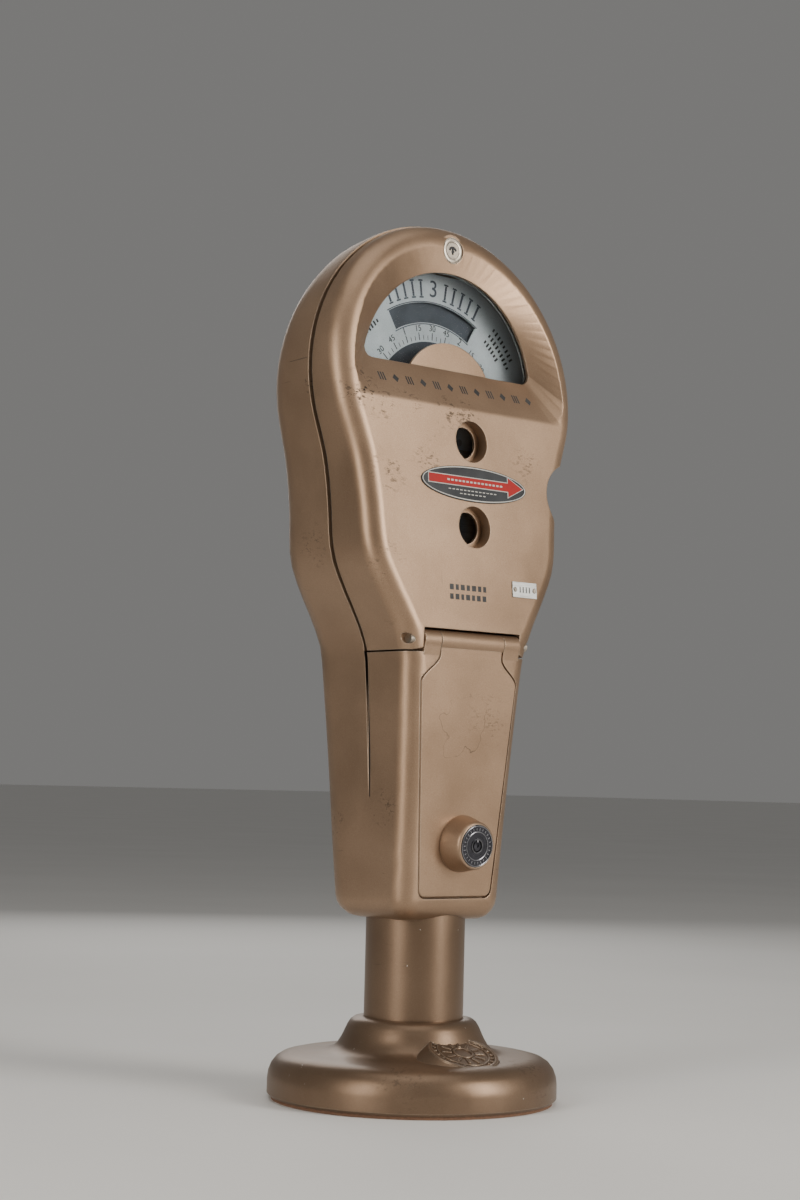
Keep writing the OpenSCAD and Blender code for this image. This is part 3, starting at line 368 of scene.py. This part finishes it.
def polished_metal(name, base, rough=0.16, pits=0.4):
    """Plated metal with small dark pits in patches."""
    n = Nodes(name)
    pit = n.ramp(n.cells(900), 0.08, 0.2, 1.0, 0.0)
    pit = n.math("MULTIPLY", pit, n.ramp(n.noise(300, 4, 0.6), 0.48, 0.62))
    colour = n.mix(n.math("MULTIPLY", pit, pits), base, rgb(0.03, 0.028, 0.025))
    colour = n.mix(n.ramp(n.noise(120, 4, 0.6), 0.45, 0.75, 0.0, 0.35), colour, darker(base, 0.4))
    haze = n.ramp(n.noise(200, 3, 0.5), 0.3, 0.7, rough, rough + 0.2)
    return n.surface(Base_Color=colour, Metallic=1.0, Roughness=haze,
                     Normal=n.bump(n.noise(700, 3, 0.6), 0.00004, 0.35))


def printed_enamel(name, base, shade, rough=0.4, dirt=0.3, metallic=0.0):
    """Flat printed colour with a faint cloud and dirt specks."""
    n = Nodes(name)
    cloud = n.noise(40, 5, 0.6)
    speck = n.noise(900, 3, 0.6)
    colour = n.mix(n.ramp(cloud, 0.35, 0.7), shade, base)
    colour = n.mix(n.ramp(speck, 0.60, 0.72, 0.0, dirt), colour, rgb(0.12, 0.10, 0.08))
    return n.surface(Base_Color=colour, Roughness=n.ramp(cloud, 0.3, 0.7, rough, rough + 0.15),
                     Metallic=metallic, Specular_IOR_Level=0.3, Normal=n.bump(speck, 0.00002, 0.4))


def clear_glass(name, tint=(0.93, 0.96, 0.97)):
    n = Nodes(name)
    haze = n.ramp(n.noise(60, 5, 0.65), 0.45, 0.75, 0.02, 0.11)
    colour = n.mix(n.ramp(n.noise(25, 4, 0.6), 0.4, 0.7), rgb(*tint), darker(tint, 0.93))
    return n.surface(Base_Color=colour, Roughness=haze, Transmission_Weight=1.0, IOR=1.35)


def rubber(name, base):
    n = Nodes(name)
    grain = n.noise(700, 4, 0.6)
    pale = tuple(min(1, c * 1.5 + 0.01) for c in base[:3]) + (1,)
    colour = n.mix(n.ramp(grain, 0.35, 0.65), base, pale)
    return n.surface(Base_Color=colour, Roughness=n.ramp(grain, 0.3, 0.7, 0.7, 0.9),
                     Normal=n.bump(grain, 0.0001, 0.5))


def floor_finish():
    n = Nodes("studio_floor")
    cloud = n.ramp(n.noise(3, 3, 0.5), 0.3, 0.7)
    colour = n.mix(cloud, rgb(0.74, 0.73, 0.71), rgb(0.77, 0.76, 0.74))
    return n.surface(Base_Color=colour, Roughness=0.8)


# ------------------------------------------------------------------ mesh helpers
CREASE = math.radians(40)
CAD_CREASE = math.radians(28)
WELD_GAP = 0.02 * MM


def link_mesh(name, bm, material, body, place=None):
    """Turns a bmesh into a piece on a body, with its own material and a named slot."""
    bmesh.ops.recalc_face_normals(bm, faces=bm.faces)
    mesh = bpy.data.meshes.new(name)
    if place is not None:
        bm.transform(place)
    bm.to_mesh(mesh)
    bm.free()
    piece = bpy.data.objects.new(name, mesh)
    bpy.context.scene.collection.objects.link(piece)
    mesh.materials.append(material)
    for face in mesh.polygons:
        face.use_smooth = True
    split = piece.modifiers.new("crease", "EDGE_SPLIT")
    split.split_angle = CREASE
    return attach(piece, body)


def add_prism(bm, outline, low, high, place=None):
    """Closed prism over a flat outline, from low to high, moved by place."""
    def row(z):
        spots = [Vector((x, y, z)) for x, y in outline]
        return [bm.verts.new(place @ p if place else p) for p in spots]

    bottom, top = row(low), row(high)
    count = len(outline)
    bm.faces.new(list(reversed(bottom)))
    bm.faces.new(top)
    for i in range(count):
        j = (i + 1) % count
        bm.faces.new((bottom[i], bottom[j], top[j], top[i]))


def add_lathe(bm, profile, steps=64):
    """Surface of revolution about local Z of a closed (radius, height) profile, given in mm."""
    rings = []
    for k in range(steps):
        a = math.tau * k / steps
        rings.append([bm.verts.new((r * MM * math.cos(a), r * MM * math.sin(a), h * MM)) for r, h in profile])
    count = len(profile)
    for k in range(steps):
        one, two = rings[k], rings[(k + 1) % steps]
        for i in range(count):
            j = (i + 1) % count
            bm.faces.new((one[i], one[j], two[j], two[i]))


def circle(cx, cy, r, count=32, start=0.0, turn=math.tau):
    """Points round a circle, or along an arc of it."""
    last = count if abs(turn - math.tau) < 1e-6 else count - 1
    return [(cx + r * math.cos(start + turn * i / last), cy + r * math.sin(start + turn * i / last))
            for i in range(count)]


def arc_strip(low, high, half_angle, count):
    """Outline between two radii, spread to both sides of twelve o'clock."""
    outer = circle(0, 0, high, count, math.pi / 2 - half_angle, 2 * half_angle)
    return outer + circle(0, 0, low, count, math.pi / 2 + half_angle, -2 * half_angle)


def bar(cx, cy, w, h, turn=0.0):
    """Rectangle's corners, centred on a point, all in mm."""
    c, s = math.cos(turn), math.sin(turn)
    corners = ((-w / 2, -h / 2), (w / 2, -h / 2), (w / 2, h / 2), (-w / 2, h / 2))
    return [((cx + x * c - y * s) * MM, (cy + x * s + y * c) * MM) for x, y in corners]


def numeral_mesh(text, size, depth):
    """Mesh of a generic numeral, centred, as thick as depth."""
    curve = bpy.data.curves.new("numeral", "FONT")
    curve.body = text
    curve.size = size
    curve.extrude = depth / 2
    curve.align_x = "CENTER"
    curve.align_y = "CENTER"
    helper = bpy.data.objects.new("numeral", curve)
    bpy.context.scene.collection.objects.link(helper)
    bpy.context.view_layer.update()
    mesh = bpy.data.meshes.new_from_object(helper.evaluated_get(bpy.context.evaluated_depsgraph_get()))
    bpy.data.objects.remove(helper)
    return mesh


def add_numeral(bm, text, size, depth, place):
    mesh = numeral_mesh(text, size, depth)
    mesh.transform(place)
    bm.from_mesh(mesh)
    bpy.data.meshes.remove(mesh)


def smooth_node(name, material):
    """Gives a CAD node a material and smooth shading between its sharp edges."""
    piece = NODES[name]
    piece.data.materials.clear()
    piece.data.materials.append(material)
    for face in piece.data.polygons:
        face.use_smooth = True
    weld = piece.modifiers.new("join", "WELD")
    weld.merge_threshold = WELD_GAP
    crease = piece.modifiers.new("crease", "EDGE_SPLIT")
    crease.split_angle = CAD_CREASE
    normals = piece.modifiers.new("normals", "WEIGHTED_NORMAL")
    normals.keep_sharp = True


# ------------------------------------------------------------------ dial
ARBOR_Z = HEAD_Z - 19 * MM
SLOT_LOW = 57 * MM
SLOT_HIGH = 69.5 * MM
SLOT_ANGLE = math.radians(31)
PRINT_T = 0.12 * MM
HOURS = 3
SCALE_REACH = math.radians(75)
SCALE_R = 46.4 * MM
NUMERAL_R = 53.6 * MM
LIMIT_R = 78.2 * MM


def dial_frame(out=0.0):
    """Frame on the dial's centre: local X right, Y up, Z towards the front."""
    return Matrix.Translation((0, DIAL_FRONT - out, ARBOR_Z)) @ Matrix.Rotation(math.radians(90), 4, "X")


def on_dial(radius, angle, out=0.0):
    """Frame at a radius and an angle clockwise from twelve, its Y pointing away from the centre."""
    return dial_frame(out) @ Matrix.Rotation(-angle, 4, "Z") @ Matrix.Translation((0, radius, 0))


def make_dial_scale(ink):
    """Ticks every five minutes with numerals every quarter of an hour."""
    scale = bmesh.new()
    marks = HOURS * 12
    for k in range(marks + 1):
        long, width = (2.8, 0.35) if k % 3 else (4.6, 0.55)
        place = on_dial(SCALE_R, -SCALE_REACH + 2 * SCALE_REACH * k / marks)
        add_prism(scale, bar(0, long / 2, width, long), 0, PRINT_T, place)
    quarters = HOURS * 4
    for k in range(1, quarters + 1):
        text, size = (str(15 * (k % 4)), 5.4 * MM) if k % 4 else (str(k // 4), 6.6 * MM)
        place = on_dial(NUMERAL_R, -SCALE_REACH + 2 * SCALE_REACH * k / quarters, PRINT_T / 2)
        add_numeral(scale, text, size, PRINT_T, place)
    link_mesh("dial_scale", scale, ink, "pedestal")


def make_limit_marks(ink):
    """Large hour numeral between two groups of plain bars with feet."""
    limit = bmesh.new()
    add_numeral(limit, str(HOURS), 15 * MM, PRINT_T, on_dial(LIMIT_R, 0, PRINT_T / 2))
    for side in (-1, 1):
        for k in range(5):
            place = on_dial(LIMIT_R, side * math.radians(7.4 + 5.0 * k))
            for cy, w, h in ((0, 1.5, 9.0), (5.2, 3.4, 1.0), (-5.2, 3.4, 1.0)):
                add_prism(limit, bar(0, cy, w, h), 0, PRINT_T, place)
    link_mesh("dial_limit_marks", limit, ink, "pedestal")


def make_note_lines(ink):
    """Rows of plain dashes at both ends of the dial."""
    notes = bmesh.new()
    for side in (-1, 1):
        for row, count in ((79.5, 8), (74, 9), (68.5, 6)):
            for k in range(count):
                tall = 3.2 if k % 4 else 2.2
                place = on_dial(row * MM, side * math.radians(40.5 + 2.35 * k))
                add_prism(notes, bar(0, 0, 1.3, tall), 0, PRINT_T, place)
    link_mesh("dial_note_lines", notes, ink, "pedestal")


def make_dial_bands(ink):
    """Slate band round the hub, and a thin line along each side of the slot."""
    band = bmesh.new()
    add_prism(band, arc_strip(9 * MM, 45.2 * MM, math.radians(82), 60), 0, PRINT_T)
    link_mesh("dial_inner_band", band, ink, "pedestal", dial_frame())
    lines = bmesh.new()
    reach = SLOT_ANGLE + math.radians(0.8)
    near, far = 0.4 * MM, 1.0 * MM
    for low, high in ((SLOT_LOW - far, SLOT_LOW - near), (SLOT_HIGH + near, SLOT_HIGH + far)):
        add_prism(lines, arc_strip(low, high, reach, 40), 0, PRINT_T)
    link_mesh("dial_slot_lines", lines, ink, "pedestal", dial_frame())


# ------------------------------------------------------------------ oval plate, tag and stencil
def ellipse(a, b, count=96):
    return [(a * math.cos(math.tau * i / count), b * math.sin(math.tau * i / count)) for i in range(count)]


def middle_of(low, high):
    return (low.x + high.x) / 2, (low.z + high.z) / 2


def make_oval_border(white, place):
    half_w = (PLATE_HI.x - PLATE_LO.x) / 2
    half_h = (PLATE_HI.z - PLATE_LO.z) / 2
    border = bmesh.new()
    outer = ellipse(half_w - 0.5 * MM, half_h - 0.5 * MM)
    inner = ellipse(half_w - 1.1 * MM, half_h - 1.1 * MM)
    count = len(outer)
    for i in range(count):
        j = (i + 1) % count
        add_prism(border, [outer[i], outer[j], inner[j], inner[i]], 0, PRINT_T)
    bmesh.ops.remove_doubles(border, verts=border.verts, dist=1e-7)
    link_mesh("oval_border", border, white, "cover", place)


def make_oval_arrow(name, material, grow, depth, place):
    """Plain arrow, grown on every side for the pale edge under the red one."""
    shaft, wide = 2.6 + grow, 6.0 + 1.5 * grow
    tail, neck, tip = -37 - grow, 27.5 - grow, 39.5 + 1.6 * grow
    half = [(tail, shaft), (neck, shaft), (neck, wide)]
    arrow = [(x, -y) for x, y in half] + [(tip, 0)] + half[::-1]
    lift = 1.0
    bm = bmesh.new()
    add_prism(bm, [(x * MM, (y + lift) * MM) for x, y in arrow], 0, depth)
    link_mesh(name, bm, material, "cover", place)


def make_oval_lines(white, place):
    """Rows of plain dashes, the first one on the arrow."""
    lines = bmesh.new()
    for cx, cy, length, tall, lift in ((0, 1.0, 46, 1.1, 2 * PRINT_T), (-2, -4.4, 40, 0.55, 0),
                                       (-2, -6.6, 22, 0.55, 0)):
        count = int(length / 3)
        for k in range(count):
            x = cx - length / 2 + (k + 0.5) * length / count
            add_prism(lines, bar(x, cy, 1.9, tall), lift, lift + PRINT_T)
    link_mesh("oval_plain_lines", lines, white, "cover", place)


def make_oval_print(red, white):
    place = face_frame(*middle_of(PLATE_LO, PLATE_HI), PLATE_OUT)
    make_oval_border(white, place)
    make_oval_arrow("oval_arrow_edge", white, 0.55, PRINT_T, place)
    make_oval_arrow("oval_arrow", red, 0.0, 2 * PRINT_T, place)
    make_oval_lines(white, place)


def make_tag_marks(ink):
    tag = bmesh.new()
    for k in range(4):
        add_prism(tag, bar((k - 1.5) * 2.6, 0, 0.7, 3.6), 0, PRINT_T)
    link_mesh("tag_plain_marks", tag, ink, "cover",
              face_frame(*middle_of(TAG_LO, TAG_HI), PLATE_OUT))


def make_stencil(ink):
    """Two rows of plain blocks of uneven width."""
    stencil = bmesh.new()
    left, gap, pitch = -16.0, 1.6, 5.8
    rows = ((3.2, 2.4, 3.2, 2.6, 3.4, 2.6, 2.4), (2.8, 3.0, 2.2, 3.2, 2.4, 3.0, 3.0))
    for row, widths in enumerate(rows):
        at = left
        for width in widths:
            outline = bar(at + width / 2, pitch / 2 - pitch * row, width, 3.4)
            add_prism(stencil, outline, 0, 0.05 * MM)
            at += width + gap
    place = face_frame(-1.6 * MM, 304.7 * MM, 0.02 * MM)
    link_mesh("face_stencil", stencil, ink, "cover", place)


# ------------------------------------------------------------------ ornament on the window sill
def make_sill_ornament(ink):
    """Row of plain diamonds and bars stamped on the sloping sill."""
    front = face_y(SILL_Z)
    tilt = math.atan2(SILL_TOP - SILL_Z, SILL_DEPTH)
    middle = Vector((0, front + SILL_DEPTH / 2, (SILL_TOP + SILL_Z) / 2))
    lift = Matrix.Translation((0, 0, 0.02 * MM))
    place = Matrix.Translation(middle) @ Matrix.Rotation(tilt, 4, "X") @ lift
    row = bmesh.new()
    count = 12
    pitch = 10.9
    for k in range(count):
        x = (k - (count - 1) / 2) * pitch
        if k % 2:
            diamond = [(x - 2.4, 0), (x, -3.2), (x + 2.4, 0), (x, 3.2)]
            add_prism(row, [(px * MM, py * MM) for px, py in diamond], 0, 0.1 * MM)
        else:
            for s in (-1, 0, 1):
                add_prism(row, bar(x + s * 1.9, 0, 1.0, 6.2), 0, 0.1 * MM)
    link_mesh("sill_ornament", row, ink, "cover", place)


# ------------------------------------------------------------------ locks
def make_vault_lock_face(chrome, dark):
    """Turned rings, a ring of ticks and a plain keyway on the vault lock."""
    x, _ = middle_of(VAULT_LOCK_LO, VAULT_LOCK_HI)
    place = face_frame(x, VAULT_LOCK_Z, VAULT_LOCK_OUT)
    rings = bmesh.new()
    for r0, r1, h in ((12.3, 11.6, 0.5), (8.7, 8.1, 0.35), (4.3, 3.7, 0.6)):
        add_lathe(rings, [(r1, 0), (r0, 0), (r0, h * 0.6), ((r0 + r1) / 2, h), (r1, h * 0.6)], 72)
    link_mesh("vault_lock_rings", rings, chrome, "door_lock", place)
    ticks = bmesh.new()
    count = 26
    for k in range(count):
        a = math.tau * k / count
        add_prism(ticks, bar(10.1 * math.cos(a), 10.1 * math.sin(a), 1.5, 0.5, a), 0, 0.18 * MM)
    add_prism(ticks, bar(0, 3.4, 1.4, 2.2), 0, 0.4 * MM)
    link_mesh("vault_lock_ticks", ticks, chrome, "door_lock", place)
    key = bmesh.new()
    add_lathe(key, [(0.9, 0), (2.6, 0), (2.6, 0.3), (0.9, 0.42)], 40)
    link_mesh("vault_lock_keyway", key, dark, "door_lock", place)


def make_top_lock_face(dark, nickel):
    """Curved keyhole on the cover lock's plug as a flat black sheet of painted shade, and a rounded rim about
    it.
    """
    spot = (0, TOP_LOCK_FRONT, TOP_LOCK_Z)
    place = Matrix.Translation(spot) @ Matrix.Rotation(math.radians(90), 4, "X")
    keyhole = bmesh.new()
    low, reach = math.radians(20), math.radians(140)
    outer = circle(0, -1.0 * MM, 3.6 * MM, 24, low, reach)
    inner = circle(0, -1.0 * MM, 2.0 * MM, 24, low + reach, -reach)
    # Painted shade: a flat black keyhole and pin hole stand in for the dark opening.
    add_prism(keyhole, outer + inner, 0, 0.12 * MM)
    add_prism(keyhole, circle(0, -0.6 * MM, 1.2 * MM, 24), 0, 0.15 * MM)
    link_mesh("top_lock_keyhole_shade", keyhole, dark, "cover_lock", place)
    rim = bmesh.new()
    add_lathe(rim, [(5.05, 0), (7.8, 0), (7.5, 0.5), (6.6, 0.75), (5.3, 0.45)])
    link_mesh("top_lock_rim", rim, nickel, "cover", place)


# ------------------------------------------------------------------ badge on the base
def badge_frame(out):
    """Frame on the tilted badge of the base, Z out of it."""
    turn = Matrix.Rotation(BADGE_TURN, 4, "Z")
    tilt = Matrix.Rotation(BADGE_TILT, 4, "X")
    spot = Matrix.Translation((0, -(POST_R + BADGE_OUT), BADGE_Z))
    return turn @ spot @ tilt @ Matrix.Translation((0, 0, out))


def make_badge(paint):
    """Plain rings, a ring of marks and tapered rays in low relief."""
    foot = -0.1
    relief = bmesh.new()
    for r0, r1, h in ((15.2, 16.0, 0.6), (5.2, 6.4, 0.8)):
        add_lathe(relief, [(r0, foot), (r1, foot), (r1, h * 0.7), ((r0 + r1) / 2, h), (r0, h * 0.7)], 72)
    for k in range(24):
        a = math.tau * k / 24
        outline = bar(17.6 * math.cos(a), 17.6 * math.sin(a), 2.0, 0.9, a)
        add_prism(relief, outline, foot * MM, 0.6 * MM)
    for k in range(12):
        a = math.tau * (k + 0.5) / 12
        corners = ((7.6, -0.13), (13.2, -0.05), (13.2, 0.05), (7.6, 0.13))
        ray = [(r * MM * math.cos(a + d), r * MM * math.sin(a + d)) for r, d in corners]
        add_prism(relief, ray, foot * MM, 0.55 * MM)
    link_mesh("badge_relief", relief, paint, "pedestal", badge_frame(0.6 * MM))


# ------------------------------------------------------------------ putting it together
def scuff(x, y, z, reach, fade, strength):
    """A worn spot: its place, its full and fading reach in mm, and how dark it is."""
    return (x * MM, y * MM, z * MM), reach * MM, fade * MM, strength


def make_paints():
    sill_y = face_y(SILL_Z) / MM
    cover = [scuff(-80, -33, 420, 5, 13, 1.0), scuff(-66, -35, 412, 4, 10, 0.7)]
    cover += [scuff(x, sill_y, 415, 3, 12, 0.75) for x in (-48, -14, 2)]
    cover += [scuff(-30, -38, 385, 4, 16, 0.55), scuff(-62, -38, 372, 3, 16, 0.6),
              scuff(-64, -44, 318, 3, 14, 0.55), scuff(50, -38, 388, 3, 14, 0.45)]
    housing = [scuff(-92, -4, 424, 2, 9, 0.9), scuff(-78, 12, 330, 4, 14, 0.5),
               scuff(-42, -18, 175, 2, 12, 0.7), scuff(-40, 28, 165, 2, 9, 0.7)]
    base = [scuff(-60, -60, 24, 5, 26, 0.35), scuff(30, -76, 22, 4, 20, 0.4)]
    loop = ((-2 * MM, -41 * MM, 226 * MM), 17 * MM, 0.35 * MM)
    return {
        "cover": champagne_paint("champagne_cover", cover),
        "housing": champagne_paint("champagne_housing", housing, groove=True),
        "door": champagne_paint("champagne_door", [scuff(18, -41, 230, 4, 18, 0.4)], loops=[loop]),
        # The base and post are darkened with painted shade (shade 0.55).
        "base": champagne_paint("champagne_base", base, chips=0.8, shade=0.55),
    }


def make_finishes(paints):
    """The material of each slot of the record."""
    return {
        "cast_paint": paints["housing"],
        "pad_rubber": rubber("brown_pad", rgb(0.13, 0.065, 0.035)),
        "gasket_rubber": rubber("black_gasket", rgb(0.012, 0.012, 0.012)),
        "zinc_steel": brushed_metal("zinc_steel", rgb(0.55, 0.55, 0.54), 0.34),
        "brass": brushed_metal("satin_brass", rgb(0.68, 0.49, 0.20), 0.28, dirt=0.25),
        "clear_glass": clear_glass("window_glass"),
        "dial_enamel": printed_enamel("dial_grey", rgb(0.60, 0.64, 0.66), rgb(0.47, 0.51, 0.54),
                                      0.35, 0.25, 0.25),
        "black_enamel": printed_enamel("black_ink", rgb(0.02, 0.02, 0.022), rgb(0.05, 0.05, 0.05), 0.5, 0.1),
        "flag_enamel": printed_enamel("slate_enamel", rgb(0.035, 0.045, 0.06), rgb(0.07, 0.085, 0.11),
                                      0.35, 0.2),
        "label_enamel": printed_enamel("label_black", rgb(0.014, 0.015, 0.018), rgb(0.035, 0.038, 0.042),
                                       0.5, 0.2),
        "tag_aluminium": brushed_metal("tag_aluminium", rgb(0.74, 0.74, 0.72), 0.38,
                                       (0, math.radians(90), 0), 0.3),
        "lock_chrome": polished_metal("dark_chrome", rgb(0.06, 0.06, 0.07), 0.14, 0.5),
        "nickel": polished_metal("worn_nickel", rgb(0.42, 0.37, 0.31), 0.26, 0.6),
        "spring_steel": brushed_metal("blued_spring", rgb(0.12, 0.15, 0.28), 0.25),
    }


def paint_nodes(paints, finishes):
    own = {}
    for paint, nodes in (("cover", ("front_cover", "hub_shield", "lens_rings")),
                         ("door", ("vault_door", "vault_lock_collar")), ("base", ("base_flange", "post"))):
        own.update({node: paints[paint] for node in nodes})
    for entry in frame["record"]["subparts"]:
        node = entry["node"]
        smooth_node(node, own.get(node, finishes[entry["material_slot"]]))


def add_details(paints, finishes):
    ink, slate = finishes["black_enamel"], finishes["flag_enamel"]
    red = printed_enamel("label_red", rgb(0.42, 0.008, 0.006), rgb(0.32, 0.006, 0.005), 0.5, 0.25)
    white = printed_enamel("label_white", rgb(0.62, 0.61, 0.56), rgb(0.45, 0.44, 0.41), 0.4, 0.45)
    bright_chrome = polished_metal("bright_chrome", rgb(0.26, 0.26, 0.28), 0.2, 0.5)
    make_dial_scale(ink)
    make_limit_marks(slate)
    make_note_lines(ink)
    make_dial_bands(slate)
    make_oval_print(red, white)
    make_tag_marks(ink)
    make_stencil(ink)
    make_sill_ornament(ink)
    make_vault_lock_face(bright_chrome, finishes["lock_chrome"])
    make_top_lock_face(ink, finishes["nickel"])
    make_badge(paints["base"])


make_camera()
make_studio()
all_paints = make_paints()
all_finishes = make_finishes(all_paints)
paint_nodes(all_paints, all_finishes)
add_details(all_paints, all_finishes)
